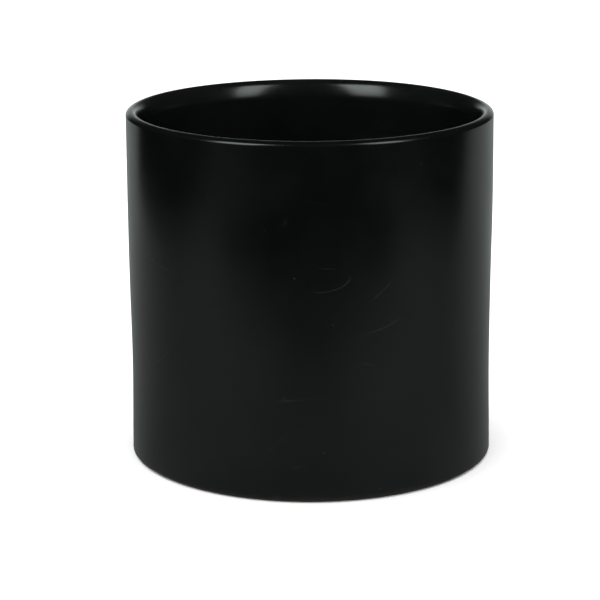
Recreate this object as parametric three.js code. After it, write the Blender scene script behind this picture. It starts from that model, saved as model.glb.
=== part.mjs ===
// A straight-sided candle vessel: a fired stoneware body under three separate coats of glaze.
// Units are millimetres and +Z is up. The origin is the middle of the plane that the foot rests on.
//
// Every piece is a solid of revolution, so each one is a profile of (radius, height) points. The coats
// and the clay share their meeting surfaces: the same path is drawn once on the glaze's surface and
// once more, set in by the coat's thickness, on the clay's.

import * as THREE from 'three';

// Overall size
const RIM_RADIUS = 50;
const HEIGHT = 95.9;

// Outside wall: how far its radius strays from the rim's, at even steps up from the glaze line.
// The wall keeps a slight waist a quarter of the way up.
const WALL_DRIFT = [0.1, -0.28, -0.13, 0.08, 0];
const WALL_STEPS = 8;

// Rim: a tight, elliptical shoulder outside, and inside it a longer lip that eases into the wall
const SHOULDER_WIDTH = 1.75;
const SHOULDER_DEPTH = 1.2;
const LIP_WIDTH = 2.4;
const LIP_DEPTH = 6;

// Inside
const INNER_FLOOR_RADIUS = 45.2;
const FLOOR_HEIGHT = 5;
const FLOOR_FILLET = 4.5;

// Foot
const FOOT_OUTER_RADIUS = 49.2;
const FOOT_INNER_RADIUS = 43.6;
const RECESS_RADIUS = 42.8;
const RECESS_DEPTH = 1.3;

// Glaze coats
const COAT = 0.35;
const GLAZE_LINE = 0.6;
const BASE_COAT_RADIUS = 42.4;

// How round the curves are
const SEGMENTS = 72;
const ARC_STEPS = 4;
const LIP_STEPS = 6;
const FILLET_STEPS = 5;

// Heights and radii that follow from the ones above
const SHOULDER_HEIGHT = HEIGHT - SHOULDER_DEPTH;
const CREST_RADIUS = RIM_RADIUS - SHOULDER_WIDTH;
const FOOT_WALL_RADIUS = RIM_RADIUS + WALL_DRIFT[0];

const point = (radius, height) => new THREE.Vector2(radius, height);

// Points on an arc about a centre, with both of its ends. Angles are in degrees from outwards to up.
// A rise other than the radius makes it an arc of an ellipse.
function arc(centreRadius, centreHeight, radius, from, to, steps, rise = radius) {
  const points = [];
  for (let i = 0; i <= steps; i += 1) {
    const angle = THREE.MathUtils.degToRad(from + ((to - from) * i) / steps);
    points.push(point(centreRadius + radius * Math.cos(angle), centreHeight + rise * Math.sin(angle)));
  }
  return points;
}

// The outside from the glaze line up the wall and over the shoulder to the crest of the rim.
function outsidePath(inset) {
  const rise = (SHOULDER_HEIGHT - GLAZE_LINE - COAT) / (WALL_DRIFT.length - 1);
  const knots = WALL_DRIFT.map((drift, i) => point(RIM_RADIUS + drift - inset, GLAZE_LINE + COAT + rise * i));
  const wall = new THREE.SplineCurve(knots).getPoints(WALL_STEPS);
  const shoulder = arc(
    CREST_RADIUS, SHOULDER_HEIGHT, SHOULDER_WIDTH - inset, 0, 90, ARC_STEPS, SHOULDER_DEPTH - inset,
  );
  return [...wall, ...shoulder.slice(1)];
}

// The inside from the crest over the lip, down the wall and round the fillet to the floor's middle.
function insidePath(inset) {
  const lip = arc(
    CREST_RADIUS, HEIGHT - LIP_DEPTH, LIP_WIDTH - inset, 90, 180, LIP_STEPS, LIP_DEPTH - inset,
  );
  const fillet = arc(
    INNER_FLOOR_RADIUS - FLOOR_FILLET, FLOOR_HEIGHT + FLOOR_FILLET, FLOOR_FILLET + inset, 0, -90, FILLET_STEPS,
  );
  return [...lip, ...fillet, point(0, FLOOR_HEIGHT - inset)];
}

// The fired clay: foot ring, recessed underside, wall, rim and floor.
function clayBodyProfile() {
  return [
    point(0, RECESS_DEPTH),
    point(RECESS_RADIUS, RECESS_DEPTH),
    point(FOOT_INNER_RADIUS, 0),
    point(FOOT_OUTER_RADIUS, 0),
    point(FOOT_WALL_RADIUS - COAT, GLAZE_LINE),
    ...outsidePath(COAT),
    ...insidePath(COAT).slice(1),
  ];
}

// The satin coat on the outside. Its lower edge is a rounded bead at the glaze line.
function outerGlazeProfile() {
  const bead = arc(FOOT_WALL_RADIUS - COAT, GLAZE_LINE + COAT, COAT, -90, 0, ARC_STEPS);
  return [...bead, ...outsidePath(0).slice(1), ...outsidePath(COAT).reverse(), bead[0].clone()];
}

// The liner coat on the inside, from the crest of the rim to the whole floor.
function innerGlazeProfile() {
  return [...insidePath(COAT).reverse(), ...insidePath(0)];
}

// The coat on the recessed underside, inside the wiped foot ring.
function baseGlazeProfile() {
  return [
    point(0, RECESS_DEPTH - COAT),
    point(BASE_COAT_RADIUS - COAT, RECESS_DEPTH - COAT),
    point(BASE_COAT_RADIUS, RECESS_DEPTH),
    point(0, RECESS_DEPTH),
  ];
}

// Turns a profile about +Z and gives it a name and a finish.
function turned(name, profile, finish) {
  const geometry = new THREE.LatheGeometry(profile, SEGMENTS);
  geometry.rotateX(Math.PI / 2);
  const mesh = new THREE.Mesh(geometry, new THREE.MeshStandardMaterial(finish));
  mesh.name = name;
  return mesh;
}

const jar = new THREE.Group();
jar.add(turned('clay_body', clayBodyProfile(), { color: 0x6f6154, roughness: 0.9, metalness: 0 }));
jar.add(turned('outer_glaze', outerGlazeProfile(), { color: 0x0b0d0c, roughness: 0.4, metalness: 0 }));
jar.add(turned('inner_glaze', innerGlazeProfile(), { color: 0x090b0a, roughness: 0.25, metalness: 0 }));
jar.add(turned('base_glaze', baseGlazeProfile(), { color: 0x0b0d0c, roughness: 0.35, metalness: 0 }));

export default jar;
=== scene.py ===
"""The looks of an empty ceramic candle jar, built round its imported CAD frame.

All lengths are metres in the jar's own frame: +Z up, and the origin in the middle of the plane that the
foot rests on. Each of the four CAD nodes is replaced by a finer solid of revolution of the same piece,
with the small irregularities of fired ware, and has its own procedural glaze or clay material.
"""

import math

import bpy
import numpy as np
from mathutils import Matrix, Vector


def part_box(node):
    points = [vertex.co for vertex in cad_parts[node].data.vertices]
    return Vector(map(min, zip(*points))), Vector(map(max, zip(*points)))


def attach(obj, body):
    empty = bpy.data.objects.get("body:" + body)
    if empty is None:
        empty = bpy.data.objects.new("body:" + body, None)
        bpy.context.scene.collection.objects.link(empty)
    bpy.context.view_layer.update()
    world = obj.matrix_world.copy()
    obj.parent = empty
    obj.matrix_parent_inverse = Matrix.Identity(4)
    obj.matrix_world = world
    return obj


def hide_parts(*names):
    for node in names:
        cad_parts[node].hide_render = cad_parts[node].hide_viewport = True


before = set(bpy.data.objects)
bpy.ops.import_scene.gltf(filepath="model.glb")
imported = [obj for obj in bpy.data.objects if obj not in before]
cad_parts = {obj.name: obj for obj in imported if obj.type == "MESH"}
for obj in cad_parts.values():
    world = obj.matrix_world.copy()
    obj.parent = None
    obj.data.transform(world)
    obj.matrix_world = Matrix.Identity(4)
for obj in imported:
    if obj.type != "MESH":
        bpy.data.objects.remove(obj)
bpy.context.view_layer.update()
MM = 0.001

# ---------------------------------------------------------------- the jar's sizes

outer_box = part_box("outer_glaze")
inner_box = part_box("inner_glaze")
base_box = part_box("base_glaze")

COAT = 0.35 * MM
HEIGHT = outer_box[1].z
FOOT_FLARE = 0.1 * MM
RIM_RADIUS = outer_box[1].x - FOOT_FLARE
GLAZE_LINE = outer_box[0].z
SHOULDER_WIDTH = 1.75 * MM
SHOULDER_DEPTH = 1.2 * MM
CREST_RADIUS = RIM_RADIUS - SHOULDER_WIDTH
LIP_WIDTH = 2.4 * MM
LIP_DEPTH = 6 * MM
FLOOR_HEIGHT = inner_box[0].z + COAT
INNER_FLOOR_RADIUS = 45.2 * MM
FLOOR_FILLET = 4.5 * MM
FOOT_OUTER_RADIUS = 49.2 * MM
FOOT_INNER_RADIUS = 43.6 * MM
FOOT_EDGE = 0.3 * MM
BASE_COAT_RADIUS = base_box[1].x
RECESS_RADIUS = BASE_COAT_RADIUS + 0.4 * MM
RECESS_DEPTH = base_box[1].z

# How far the outside wall strays from the rim's radius, at even steps up from the glaze line
WALL_DRIFT = [FOOT_FLARE, -0.28 * MM, -0.13 * MM, 0.08 * MM, 0]

# How finely the profiles and the rings are divided. The clay's hidden faces are coarser than the coats'.
SEGMENTS = 360
HIDDEN_OUTSIDE = (30, 6)
HIDDEN_INSIDE = (8, 16, 6, 6)
SHOWN_OUTSIDE = (96, 28)
SHOWN_INSIDE = (40, 90, 14, 20)


# ---------------------------------------------------------------- profiles

def arc(centre, radius, start, end, steps, rise=None):
    """Points (radius, height) on an arc, or an ellipse's when rise differs. Degrees from outwards to up."""
    rise = radius if rise is None else rise
    angles = np.radians(np.linspace(start, end, steps + 1))
    return [(centre[0] + radius * math.cos(a), centre[1] + rise * math.sin(a)) for a in angles]


def line(start, end, steps):
    """Points from start to end, without the first one."""
    return [tuple(np.add(start, np.subtract(end, start) * i / steps)) for i in range(1, steps + 1)]


def smooth_curve(values, t):
    """A smooth curve through evenly spaced values, where t runs from 0 to 1. t may be an array."""
    last = len(values) - 1
    t = np.clip(t, 0, 1) * last
    i = np.minimum(t.astype(int), last - 1)
    u = t - i
    v = np.array([2 * values[0] - values[1], *values, 2 * values[-1] - values[-2]])
    a, b, c, d = v[i], v[i + 1], v[i + 2], v[i + 3]
    return b + 0.5 * u * (c - a + u * (2 * a - 5 * b + 4 * c - d + u * (3 * (b - c) + d - a)))


def outside_path(inset, wall_steps, shoulder_steps):
    """Up the outside wall from the glaze line and over the shoulder to the crest of the rim."""
    low = GLAZE_LINE + COAT
    high = HEIGHT - SHOULDER_DEPTH
    t = np.linspace(0, 1, wall_steps + 1)
    radii = RIM_RADIUS - inset + smooth_curve(WALL_DRIFT, t)
    wall = list(zip(radii, low + (high - low) * t))
    width, depth = SHOULDER_WIDTH - inset, SHOULDER_DEPTH - inset
    return wall + arc((CREST_RADIUS, high), width, 0, 90, shoulder_steps, depth)[1:]


def inside_path(inset, lip_steps, wall_steps, fillet_steps, floor_steps):
    """From the crest over the lip, down the inner wall and round the fillet to the floor's middle."""
    width, depth = LIP_WIDTH - inset, LIP_DEPTH - inset
    lip = arc((CREST_RADIUS, HEIGHT - LIP_DEPTH), width, 90, 180, lip_steps, depth)
    centre = (INNER_FLOOR_RADIUS - FLOOR_FILLET, FLOOR_HEIGHT + FLOOR_FILLET)
    fillet = arc(centre, FLOOR_FILLET + inset, 0, -90, fillet_steps)
    wall = line(lip[-1], fillet[0], wall_steps)
    floor = line(fillet[-1], (0, FLOOR_HEIGHT - inset), floor_steps)
    return lip + wall + fillet[1:] + floor


def clay_profile():
    """The clay, from the underside's middle round the foot, wall and rim to the middle of the floor."""
    recess_end = RECESS_RADIUS - FOOT_EDGE
    recess = line((0, RECESS_DEPTH), (recess_end, RECESS_DEPTH), 6)
    cove = arc((recess_end, RECESS_DEPTH - FOOT_EDGE), FOOT_EDGE, 90, 20, 4)
    inner_edge = arc((FOOT_INNER_RADIUS + FOOT_EDGE, FOOT_EDGE), FOOT_EDGE, 200, 270, 4)
    outer_edge = arc((FOOT_OUTER_RADIUS - FOOT_EDGE, FOOT_EDGE), FOOT_EDGE, -90, -35, 4)
    ground = line(inner_edge[-1], outer_edge[0], 8)
    outside = outside_path(COAT, *HIDDEN_OUTSIDE)
    glaze_stop = line(outer_edge[-1], (outside[0][0], GLAZE_LINE), 3)
    inside = inside_path(COAT, *HIDDEN_INSIDE)
    foot = inner_edge + ground + outer_edge[1:] + glaze_stop
    return [(0, RECESS_DEPTH)] + recess + cove[1:] + foot + outside + inside[1:]


def outer_glaze_profile():
    """The outside coat, as a closed loop: its bead, its outer face, and back down against the clay."""
    bead = arc((RIM_RADIUS + FOOT_FLARE - COAT, GLAZE_LINE + COAT), COAT, -90, 0, 8)
    face = outside_path(0, *SHOWN_OUTSIDE)
    back = outside_path(COAT, *HIDDEN_OUTSIDE)
    return bead[:-1] + face + back[::-1]


def inner_glaze_profile():
    """The inside coat, from the floor's middle up against the clay and back down its own face."""
    back = inside_path(COAT, *HIDDEN_INSIDE)
    face = inside_path(0, *SHOWN_INSIDE)
    return back[::-1] + face


def base_glaze_profile():
    """The coat in the recess, with a rolled edge just inside the wiped foot."""
    low = RECESS_DEPTH - COAT
    face = line((0, low), (BASE_COAT_RADIUS - COAT, low), 40)
    edge = arc((BASE_COAT_RADIUS - COAT, RECESS_DEPTH), COAT, -90, 0, 6)
    back = line(edge[-1], (0, RECESS_DEPTH), 6)
    return [(0, low)] + face + edge[1:] + back


# ---------------------------------------------------------------- the marks of making and firing

OVAL = 0.05 * MM
THREE_SIDED = 0.03 * MM
WAVINESS = 0.018 * MM
RIM_LIFT = 0.04 * MM
RIPPLE = 0.012 * MM
EDGE_WANDER = 0.05 * MM
EDGE_REACH = 0.55 * MM

# How far the jar's middle strays along X and Y, at even steps up from the ground
LEAN_X = [0.11 * MM, 0.05 * MM, -0.08 * MM, -0.06 * MM, -0.12 * MM]
LEAN_Y = [0, -0.05 * MM, 0.04 * MM, 0.06 * MM, 0]


def waves(points, seed, length, count=14):
    """A smooth random height between about -1 and 1 at each point, with features about that long."""
    rng = np.random.default_rng(seed)
    directions = rng.normal(size=(count, 3))
    directions /= np.linalg.norm(directions, axis=1)[:, None]
    lengths = length * rng.uniform(0.7, 1.6, count)
    phases = rng.uniform(0, 2 * math.pi, count)
    heights = np.sin(points @ (directions * (2 * math.pi / lengths)[:, None]).T + phases)
    return heights.sum(1) / math.sqrt(count)


def fired_shape(points):
    """Moves the points of a perfect jar to where a fired one's are: out of round, and a little wavy."""
    x, y, z = points.T
    angle = np.arctan2(y, x)
    up = z / HEIGHT
    reach = np.clip(np.hypot(x, y) / RIM_RADIUS, 0, 1) ** 2
    oval = OVAL * np.cos(2 * (angle - 0.9)) + THREE_SIDED * np.cos(3 * angle + 0.4)
    wavy = WAVINESS * waves(points, 11, 34 * MM)
    outwards = (oval * np.sin(math.pi * np.clip(up, 0, 1) * 0.5) + wavy) * reach
    crest = np.clip((up - 0.8) / 0.2, 0, 1) ** 2
    lift = crest * RIM_LIFT * waves(points * [1, 1, 0], 23, 60 * MM)
    away = np.stack([np.cos(angle), np.sin(angle), 0 * z], 1) * outwards[:, None]
    lean = np.stack([smooth_curve(LEAN_X, up) * reach, smooth_curve(LEAN_Y, up) * reach, lift], 1)
    return points + away + lean


def inner_ripples(points):
    """Faint level ripples that the inner wall keeps from its forming, as a shift towards the axis."""
    x, y, z = points.T
    from_rim = np.clip((HEIGHT - z) / (4 * MM), 0, 1)
    from_floor = np.clip((z - FLOOR_HEIGHT - FLOOR_FILLET) / (8 * MM), 0, 1)
    drift = 0.8 * waves(points, 31, 60 * MM)
    fine = np.sin(2 * math.pi * z / (4.3 * MM) + drift)
    coarse = 0.6 * np.sin(2 * math.pi * z / (9.1 * MM) - drift)
    inwards = RIPPLE * (fine + coarse) * (from_rim * from_floor)
    radius = np.maximum(np.hypot(x, y), 1e-6)
    return points - np.stack([x, y, 0 * z], 1) / radius[:, None] * inwards[:, None]


def foot_edge(points):
    """Moves points near the glaze line up and down, so that the edge wanders as wiped glaze does."""
    z = points[:, 2]
    near = np.clip(1 - np.abs(z - GLAZE_LINE) / EDGE_REACH, 0, 1)
    near = near * near * (3 - 2 * near)
    level = points * [1, 1, 0]
    shift = EDGE_WANDER * (waves(level, 41, 26 * MM) + 0.4 * waves(level, 42, 7 * MM))
    return points + np.stack([0 * z, 0 * z, shift * near], 1)


# ---------------------------------------------------------------- meshes

def turned(name, profile, *shapers):
    """A closed solid of revolution. A profile that starts and ends on the axis has one point there."""
    poles = profile[0][0] == 0
    rings = np.array(profile[1:-1] if poles else profile)
    angles = np.arange(SEGMENTS) * (2 * math.pi / SEGMENTS)
    x = rings[:, 0, None] * np.cos(angles)
    y = rings[:, 0, None] * np.sin(angles)
    z = np.repeat(rings[:, 1, None], SEGMENTS, axis=1)
    points = np.stack([x, y, z], 2).reshape(-1, 3)
    if poles:
        points = np.vstack([points, [(0, 0, profile[0][1]), (0, 0, profile[-1][1])]])
    for shaper in shapers:
        points = shaper(points)

    count = len(rings)
    around = np.arange(SEGMENTS)
    onward = (around + 1) % SEGMENTS
    faces = []
    for i in range(count - 1 if poles else count):
        low, high = i * SEGMENTS, (i + 1) % count * SEGMENTS
        faces += np.stack([low + around, low + onward, high + onward, high + around], 1).tolist()
    if poles:
        first, last = len(points) - 2, len(points) - 1
        top = (count - 1) * SEGMENTS
        faces += [[first, int(b), int(a)] for a, b in zip(around, onward)]
        faces += [[last, int(top + a), int(top + b)] for a, b in zip(around, onward)]

    mesh = bpy.data.meshes.new(name)
    mesh.from_pydata(points.tolist(), [], faces)
    mesh.shade_smooth()
    mesh.validate()
    piece = bpy.data.objects.new(name, mesh)
    bpy.context.scene.collection.objects.link(piece)
    return piece


# ---------------------------------------------------------------- material nodes

class Nodes:
    """A material's node tree, with short ways to add the nodes that the materials here use."""

    def __init__(self, name):
        self.material = bpy.data.materials.new(name)
        self.material.use_nodes = True
        self.tree = self.material.node_tree
        self.shader = self.tree.nodes["Principled BSDF"]
        self.place = self.tree.nodes.new("ShaderNodeTexCoord").outputs["Object"]

    def add(self, kind, inputs, **settings):
        """A node with these settings. Each input is a value, or a socket to link from."""
        node = self.tree.nodes.new(kind)
        for key, value in settings.items():
            setattr(node, key, value)
        for key, value in inputs.items():
            if isinstance(value, bpy.types.NodeSocket):
                self.tree.links.new(value, node.inputs[key])
            else:
                node.inputs[key].default_value = value
        return node

    def noise(self, length, detail, seed, place=None):
        """Noise from 0 to 1, with features about that long."""
        offset = (seed, seed * 0.7, seed * 1.3)
        spot = self.add("ShaderNodeVectorMath", {0: place or self.place, 1: offset}).outputs[0]
        inputs = {"Vector": spot, "Scale": 1 / length, "Detail": detail}
        return self.add("ShaderNodeTexNoise", inputs).outputs["Fac"]

    def stretched(self, scale, turn):
        """The object's coordinates, turned and stretched, for marks that run one way."""
        inputs = {"Vector": self.place, "Rotation": turn, "Scale": scale}
        return self.add("ShaderNodeMapping", inputs).outputs[0]

    def fit(self, value, low, high, to_low, to_high, kind="SMOOTHSTEP"):
        """Takes low..high to to_low..to_high, smoothly, and holds it there beyond."""
        inputs = {"Value": value, "From Min": low, "From Max": high, "To Min": to_low, "To Max": to_high}
        node = self.add("ShaderNodeMapRange", inputs, interpolation_type=kind, clamp=True)
        return node.outputs["Result"]

    def ramps(self, value, points, scale=1.0):
        """Joins (position, height) points with straight ramps, and holds the first and last heights."""
        total = points[0][1]
        for (a, low), (b, high) in zip(points, points[1:]):
            step = self.fit(value, a * scale, b * scale, 0, high - low, "LINEAR")
            total = self.maths("ADD", total, step)
        return total

    def maths(self, operation, a, b=0.0, clamp=False):
        """One sum of two values or sockets."""
        return self.add("ShaderNodeMath", {0: a, 1: b}, operation=operation, use_clamp=clamp).outputs[0]

    def mix(self, amount, a, b):
        """Colour a where amount is 0, and b where it is 1."""
        return self.add("ShaderNodeMix", {0: amount, 6: a, 7: b}, data_type="RGBA").outputs[2]

    def specks(self, spacing, size, share, seed):
        """1 on sparse round specks and 0 between them. share is how many of the possible ones show."""
        spot = self.add("ShaderNodeVectorMath", {0: self.place, 1: (seed, -seed, seed * 0.5)}).outputs[0]
        cells = self.add("ShaderNodeTexVoronoi", {"Vector": spot, "Scale": 1 / spacing})
        pick = self.add("ShaderNodeSeparateColor", {"Color": cells.outputs["Color"]})
        chosen = self.maths("GREATER_THAN", pick.outputs[0], 1 - share)
        grain = self.fit(cells.outputs["Distance"], size / spacing * 0.5, size / spacing, 1, 0)
        return self.maths("MULTIPLY", chosen, grain)

    def along(self, axis):
        """The object's own coordinate along X, Y or Z."""
        return self.add("ShaderNodeSeparateXYZ", {0: self.place}).outputs[axis]

    def bump(self, height, distance, below=None):
        """A bumped normal, on top of the one below if there is one."""
        inputs = {"Height": height, "Distance": distance, "Strength": 1.0}
        if below is not None:
            inputs["Normal"] = below
        return self.add("ShaderNodeBump", inputs).outputs[0]

    def finish(self, colour, roughness, normal):
        """Links the shader and returns the material."""
        self.tree.links.new(colour, self.shader.inputs["Base Color"])
        self.tree.links.new(roughness, self.shader.inputs["Roughness"])
        self.tree.links.new(normal, self.shader.inputs["Normal"])
        return self.material


# ---------------------------------------------------------------- the jar's materials

SCUFFED = (0.014, 0.0145, 0.014, 1)
DUST = (0.034, 0.033, 0.03, 1)
THINNED_GLAZE = (0.0075, 0.0065, 0.005, 1)
PALE_CLAY = (0.25, 0.195, 0.14, 1)
WARM_CLAY = (0.17, 0.125, 0.085, 1)
GRITTY_CLAY = (0.11, 0.08, 0.055, 1)
IRON_SPECK = (0.03, 0.018, 0.012, 1)
# Painted shade: near-black laid over the foot clay above the face it stands on
PAINTED_SHADE_CLAY = (0.01, 0.0075, 0.005, 1)


def glaze(name, colour, roughness, peel, specks, scuffs, seed):
    """A black glaze: a cloudy satin face, faint orange peel, pinholes, hairline scuffs and settled dust.

    peel is the depth of the orange peel in metres, and specks and scuffs run from 0, none, to 1.
    """
    n = Nodes(name)
    n.shader.inputs["IOR"].default_value = 1.5

    cloud = n.noise(21 * MM, 3, seed)
    mottle = n.noise(3.1 * MM, 3, seed + 1)
    dark = (*[c * 0.75 for c in colour], 1)
    light = (*[c * 1.25 for c in colour], 1)
    tint = n.mix(n.fit(cloud, 0.3, 0.7, 0, 1), dark, light)

    # A scuff is a short piece of a level line of a slow noise, where a second noise lets it show
    patch = n.fit(n.noise(16 * MM, 2, seed + 7), 0.58, 0.7, 0, 1)
    flow = n.noise(1.0, 0, seed + 3, n.stretched((14, 30, 40), (0.5, 0.35, 0.6)))
    level = n.maths("FRACT", n.maths("MULTIPLY", flow, 11.0))
    hair = n.fit(n.maths("ABSOLUTE", n.maths("SUBTRACT", level, 0.5)), 0.008, 0.028, scuffs, 0)
    scuff = n.maths("MULTIPLY", hair, patch)
    dust = n.specks(2.5 * MM, 0.17 * MM, specks, seed * 0.013)
    pits = n.specks(3.5 * MM, 0.22 * MM, specks * 1.5, seed * 0.021 + 0.4)

    tint = n.mix(scuff, tint, SCUFFED)
    tint = n.mix(dust, tint, DUST)

    rough = n.fit(cloud, 0.25, 0.75, roughness - 0.02, roughness + 0.02)
    rough = n.maths("ADD", rough, n.fit(mottle, 0.3, 0.7, -0.012, 0.012))
    rough = n.maths("ADD", rough, n.maths("MULTIPLY", scuff, 0.12))
    rough = n.maths("ADD", rough, n.maths("MULTIPLY", dust, 0.4), clamp=True)

    normal = n.bump(n.noise(1.6 * MM, 2, seed + 5), peel)
    normal = n.bump(n.noise(0.35 * MM, 2, seed + 4), peel * 0.15, normal)
    normal = n.bump(n.maths("SUBTRACT", dust, pits), 0.02 * MM, normal)
    return n, tint, rough, normal


def satin_glaze():
    """The outside coat. Near its lower edge it thins over the clay and turns a little brown."""
    colour = (0.0018, 0.0023, 0.0021)
    n, tint, rough, normal = glaze(
        "satin_black_glaze", colour, roughness=0.22, peel=2.0e-6, specks=0.12, scuffs=0.4, seed=3.0)
    wander = n.fit(n.noise(5 * MM, 3, 9.0), 0.3, 0.7, -0.5 * MM, 0.5 * MM)
    height = n.maths("ADD", n.along("Z"), wander)
    thin = n.fit(height, GLAZE_LINE + 0.2 * MM, GLAZE_LINE + 1.2 * MM, 0.8, 0)
    return n.finish(n.mix(thin, tint, THINNED_GLAZE), rough, normal)


def liner_glaze():
    """The inside coat, a little glossier."""
    colour = (0.0030, 0.0036, 0.0033)
    n, tint, rough, normal = glaze(
        "liner_black_glaze", colour, roughness=0.2, peel=1.6e-6, specks=0.02, scuffs=0.25, seed=17.0)
    return n.finish(tint, rough, normal)


def base_coat_glaze():
    """The coat in the recessed underside, thinner and more uneven."""
    colour = (0.0014, 0.0017, 0.0016)
    n, tint, rough, normal = glaze(
        "base_black_glaze", colour, roughness=0.3, peel=4.0e-6, specks=0.12, scuffs=0.6, seed=29.0)
    return n.finish(tint, rough, normal)


def bare_clay():
    """The fired clay of the wiped foot: buff and gritty, with iron specks, and painted almost black as shade
    everywhere above the face it stands on.
    """
    n = Nodes("bare_stoneware")
    n.shader.inputs["IOR"].default_value = 1.45
    n.shader.inputs["Specular IOR Level"].default_value = 0.3
    cloud = n.noise(9 * MM, 4, 2.0)
    grain = n.noise(0.5 * MM, 4, 5.0)
    tint = n.mix(n.fit(cloud, 0.3, 0.7, 0, 1), WARM_CLAY, PALE_CLAY)
    tint = n.mix(n.fit(grain, 0.35, 0.7, 0, 0.5), tint, GRITTY_CLAY)
    tint = n.mix(n.specks(1.1 * MM, 0.16 * MM, 0.18, 0.7), tint, IRON_SPECK)
    # Painted shade: above its ground face the buff clay is darkened almost to black, as the shadowed foot
    # edge by the floor
    tint = n.mix(n.fit(n.along("Z"), 0.01 * MM, 0.16 * MM, 0, 0.96), tint, PAINTED_SHADE_CLAY)
    rough = n.fit(grain, 0.3, 0.7, 0.8, 0.95)
    return n.finish(tint, rough, n.bump(grain, 0.05 * MM))


# ---------------------------------------------------------------- the pieces

def make_piece(node, name, slot, material, profile, *shapers):
    """One piece of the jar, which stands for its CAD node."""
    piece = turned(name, profile, *shapers)
    piece.data.materials.append(material)
    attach(piece, "root")
    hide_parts(node)


def make_jar():
    """The four pieces of the jar: the fired clay and its three coats."""
    make_piece("clay_body", "clay_body_fired", "bare_stoneware", bare_clay(),
               clay_profile(), foot_edge, fired_shape)
    make_piece("outer_glaze", "outer_glaze_coat", "satin_glaze", satin_glaze(),
               outer_glaze_profile(), foot_edge, fired_shape)
    make_piece("inner_glaze", "inner_glaze_coat", "liner_glaze", liner_glaze(),
               inner_glaze_profile(), inner_ripples, fired_shape)
    make_piece("base_glaze", "base_glaze_coat", "base_coat_glaze", base_coat_glaze(),
               base_glaze_profile(), fired_shape)


# ---------------------------------------------------------------- the studio

# Distances here are in rim radii from the jar's axis, apart from the last ones, which are in metres
UNIT = RIM_RADIUS
GLOSS_TINT = (0.91, 1.0, 0.95, 1)

# Brightness of the reflected table along Y, front to back
TABLE_LIGHT = [(-4.2, 0.05), (-3.5, 0.25), (-2.2, 0.28), (-0.3, 0.2), (2.7, 0.3), (4.5, 0.4), (7.2, 0.42),
               (16, 0.45)]

# The table's left and right edges along Y
TABLE_EDGE = [(-5, -6.3, 6.3), (0.8, -6.3, 6.3), (3, -6.3, 9.5), (5, -6.3, 12), (9, -11, 14), (16, -15, 15)]

# Brightness of the room along elevation, in degrees: what lies behind the jar, and what lies before it
ROOM_BEHIND = [(0, 1.0), (9, 0.9), (14, 0.6), (21, 0.1), (40, 0.025)]
ROOM_BEFORE = [(0, 0.02), (40, 0.025)]
ROOM_RADIUS = 30

# Each side light's name, azimuth in degrees from the front, half width and strength
SIDE_LIGHTS = [("left_softbox", -44, 1.6, 4.8), ("right_softbox", 47.5, 1.2, 4.2)]

# How far out and how high a side light's foot and head are, and its brightness from foot (0) to head (1)
SIDE_LIGHT_FOOT = (8.5, 1.9)
SIDE_LIGHT_HEAD = (4.6, 7.1)
SIDE_LIGHT = [(0, 0.1), (0.2, 0.45), (0.36, 0.75), (0.5, 0.92), (0.66, 1), (0.95, 1), (1, 0.6)]

WORLD_STRENGTH = 1.4

# The camera's distance in rim radii, its elevation and roll in degrees, and its lens in millimetres
CAMERA_DISTANCE = 12.7
CAMERA_ELEVATION = 14.26
CAMERA_ROLL = -0.19
CAMERA_LENS = 137.31

# In metres: how far the camera aims off the jar's middle, half the floor's width, and the lamp's place
AIM_LEFT = 2.88 * MM
AIM_DOWN = 5.94 * MM
FLOOR_HALF_SIZE = 6.0
LAMP_PLACE = (-0.3, -0.5, 1.6)


def stage_mesh(name, points, faces, material, only_gloss=True):
    """A mesh of the stage. One that is only for gloss is seen by nothing but reflections."""
    mesh = bpy.data.meshes.new(name)
    mesh.from_pydata([tuple(p) for p in points], [], faces)
    mesh.materials.append(material)
    card = bpy.data.objects.new(name, mesh)
    bpy.context.scene.collection.objects.link(card)
    if only_gloss:
        card.visible_camera = False
        card.visible_diffuse = False
        card.visible_transmission = False
        card.visible_volume_scatter = False
        card.visible_shadow = False
    return card


def stage_card(name, corners, material, only_gloss=True):
    """A four-cornered card of the stage."""
    return stage_mesh(name, corners, [(0, 1, 2, 3)], material, only_gloss)


def dome(radius, rings, segments):
    """The points and faces of a half sphere that stands on the floor."""
    points, faces = [], []
    for i in range(rings):
        elevation = math.pi / 2 * i / rings
        for j in range(segments):
            a = 2 * math.pi * j / segments
            out = math.cos(elevation)
            points.append(Vector((out * math.cos(a), out * math.sin(a), math.sin(elevation))) * radius)
    points.append(Vector((0, 0, radius)))
    for i in range(rings):
        for j in range(segments):
            k = (j + 1) % segments
            low = (i * segments + j, i * segments + k)
            above = ((i + 1) * segments + k, (i + 1) * segments + j)
            faces.append(low + above if i < rings - 1 else low + (len(points) - 1,))
    return points, faces


def glowing(name, brightness):
    """An emission material. brightness is given its nodes, and returns the socket of its strength."""
    n = Nodes(name)
    n.tree.nodes.remove(n.shader)
    light = n.add("ShaderNodeEmission", {"Color": GLOSS_TINT, "Strength": brightness(n)})
    n.tree.links.new(light.outputs[0], n.tree.nodes["Material Output"].inputs["Surface"])
    return n.material


def table_brightness(n):
    """The ramps along Y, dimmed in a narrow strip of the table in front of the jar."""
    aside = n.maths("ABSOLUTE", n.along("X"))
    strip = n.fit(aside, 0.4 * UNIT, 1.7 * UNIT, 0.25, 0)
    before = n.fit(n.along("Y"), -1.5 * UNIT, -0.5 * UNIT, 1, 0)
    shade = n.maths("SUBTRACT", 1.0, n.maths("MULTIPLY", strip, before))
    return n.maths("MULTIPLY", n.ramps(n.along("Y"), TABLE_LIGHT, UNIT), shade)


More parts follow.
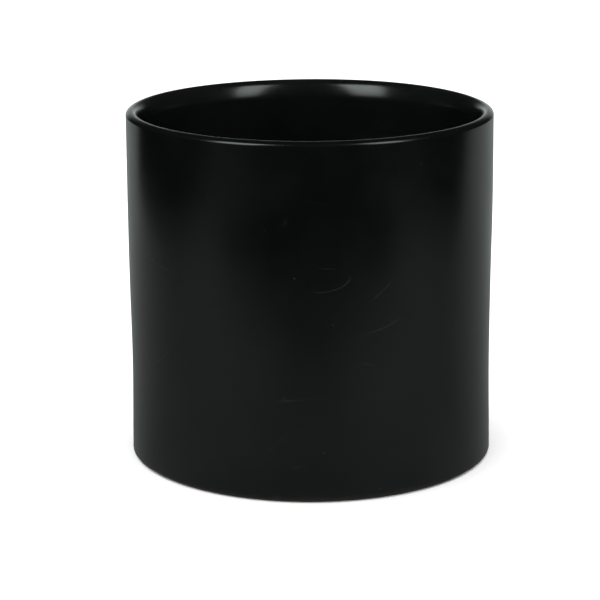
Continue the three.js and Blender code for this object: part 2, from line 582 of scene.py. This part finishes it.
def room_brightness(n):
    """Bright low down behind the jar, and dim elsewhere."""
    height = n.maths("DIVIDE", n.along("Z"), ROOM_RADIUS * UNIT)
    elevation = n.maths("MULTIPLY", n.maths("ARCSINE", height), 180 / math.pi)
    across = n.maths("DIVIDE", n.along("Y"), ROOM_RADIUS * UNIT)
    behind = n.fit(across, 0.84, 0.98, 0, 1)
    far = n.maths("MULTIPLY", n.ramps(elevation, ROOM_BEHIND), behind)
    near = n.maths("MULTIPLY", n.ramps(elevation, ROOM_BEFORE), n.maths("SUBTRACT", 1.0, behind))
    return n.maths("ADD", far, near)


def side_light_brightness(strength, foot, head):
    """Softer towards the foot of the light."""
    def brightness(n):
        up = n.fit(n.along("Z"), foot, head, 0, 1, "LINEAR")
        return n.maths("MULTIPLY", n.ramps(up, SIDE_LIGHT), strength)
    return brightness


def make_reflections():
    """What the glaze reflects: the lit table, a pale room behind it, and a tall soft light on either side."""
    below = -0.2 * MM
    glow = glowing("table_glow", table_brightness)
    for i, ((y0, left0, right0), (y1, left1, right1)) in enumerate(zip(TABLE_EDGE, TABLE_EDGE[1:])):
        corners = [(left0, y0), (right0, y0), (right1, y1), (left1, y1)]
        stage_card(f"table_reflection_{i}", [(x * UNIT, y * UNIT, below) for x, y in corners], glow)

    stage_mesh("room_reflection", *dome(ROOM_RADIUS * UNIT, 12, 32), glowing("room_glow", room_brightness))

    for name, azimuth, half_width, strength in SIDE_LIGHTS:
        a = math.radians(azimuth)
        outwards = Vector((math.sin(a), -math.cos(a), 0))
        across = Vector((math.cos(a), math.sin(a), 0)) * half_width * UNIT
        foot, head = [outwards * out * UNIT + Vector((0, 0, up * UNIT))
                      for out, up in (SIDE_LIGHT_FOOT, SIDE_LIGHT_HEAD)]
        corners = [foot - across, foot + across, head + across, head - across]
        stage_card(name, corners, glowing(name + "_glow", side_light_brightness(strength, foot.z, head.z)))


def make_studio():
    """A plain pale floor under soft, even light."""
    scene = bpy.context.scene
    scene.view_settings.view_transform = "Standard"

    n = Nodes("pale_floor")
    n.shader.inputs["Base Color"].default_value = (0.97, 0.97, 0.97, 1)
    n.shader.inputs["Roughness"].default_value = 0.9
    n.shader.inputs["Specular IOR Level"].default_value = 0.0
    size = FLOOR_HALF_SIZE
    corners = [(-size, -size, 0), (size, -size, 0), (size, size, 0), (-size, size, 0)]
    floor = stage_card("floor", corners, n.material, only_gloss=False)
    floor.visible_glossy = False

    world = bpy.data.worlds.new("soft_room")
    world.use_nodes = True
    world.node_tree.nodes["Background"].inputs["Color"].default_value = (1, 1, 1, 1)
    world.node_tree.nodes["Background"].inputs["Strength"].default_value = WORLD_STRENGTH
    world.cycles_visibility.glossy = False
    scene.world = world

    lamp = bpy.data.lights.new("overhead_softbox", "AREA")
    lamp.shape = "DISK"
    lamp.size = 1.6
    lamp.energy = 8
    above = bpy.data.objects.new("overhead_softbox", lamp)
    above.location = LAMP_PLACE
    above.rotation_euler = (-above.location).to_track_quat("-Z", "Y").to_euler()
    above.visible_glossy = False
    above.visible_camera = False
    scene.collection.objects.link(above)


def make_camera():
    """A long lens a little above the rim, aimed just off the jar's middle."""
    elevation = math.radians(CAMERA_ELEVATION)
    middle = Vector((0, 0, HEIGHT / 2))
    back = Vector((0, -math.cos(elevation), math.sin(elevation)))
    up = Vector((0, math.sin(elevation), math.cos(elevation)))
    place = middle + CAMERA_DISTANCE * UNIT * back
    aim = middle - Vector((AIM_LEFT, 0, 0)) - up * AIM_DOWN

    data = bpy.data.cameras.new("camera")
    data.sensor_width = 36
    data.lens = CAMERA_LENS
    camera = bpy.data.objects.new("camera", data)
    turn = (aim - place).to_track_quat("-Z", "Y").to_matrix().to_4x4()
    roll = Matrix.Rotation(math.radians(CAMERA_ROLL), 4, "Z")
    camera.location = place
    camera.rotation_euler = (turn @ roll).to_euler()
    bpy.context.scene.collection.objects.link(camera)
    bpy.context.scene.camera = camera


make_jar()
make_reflections()
make_studio()
make_camera()
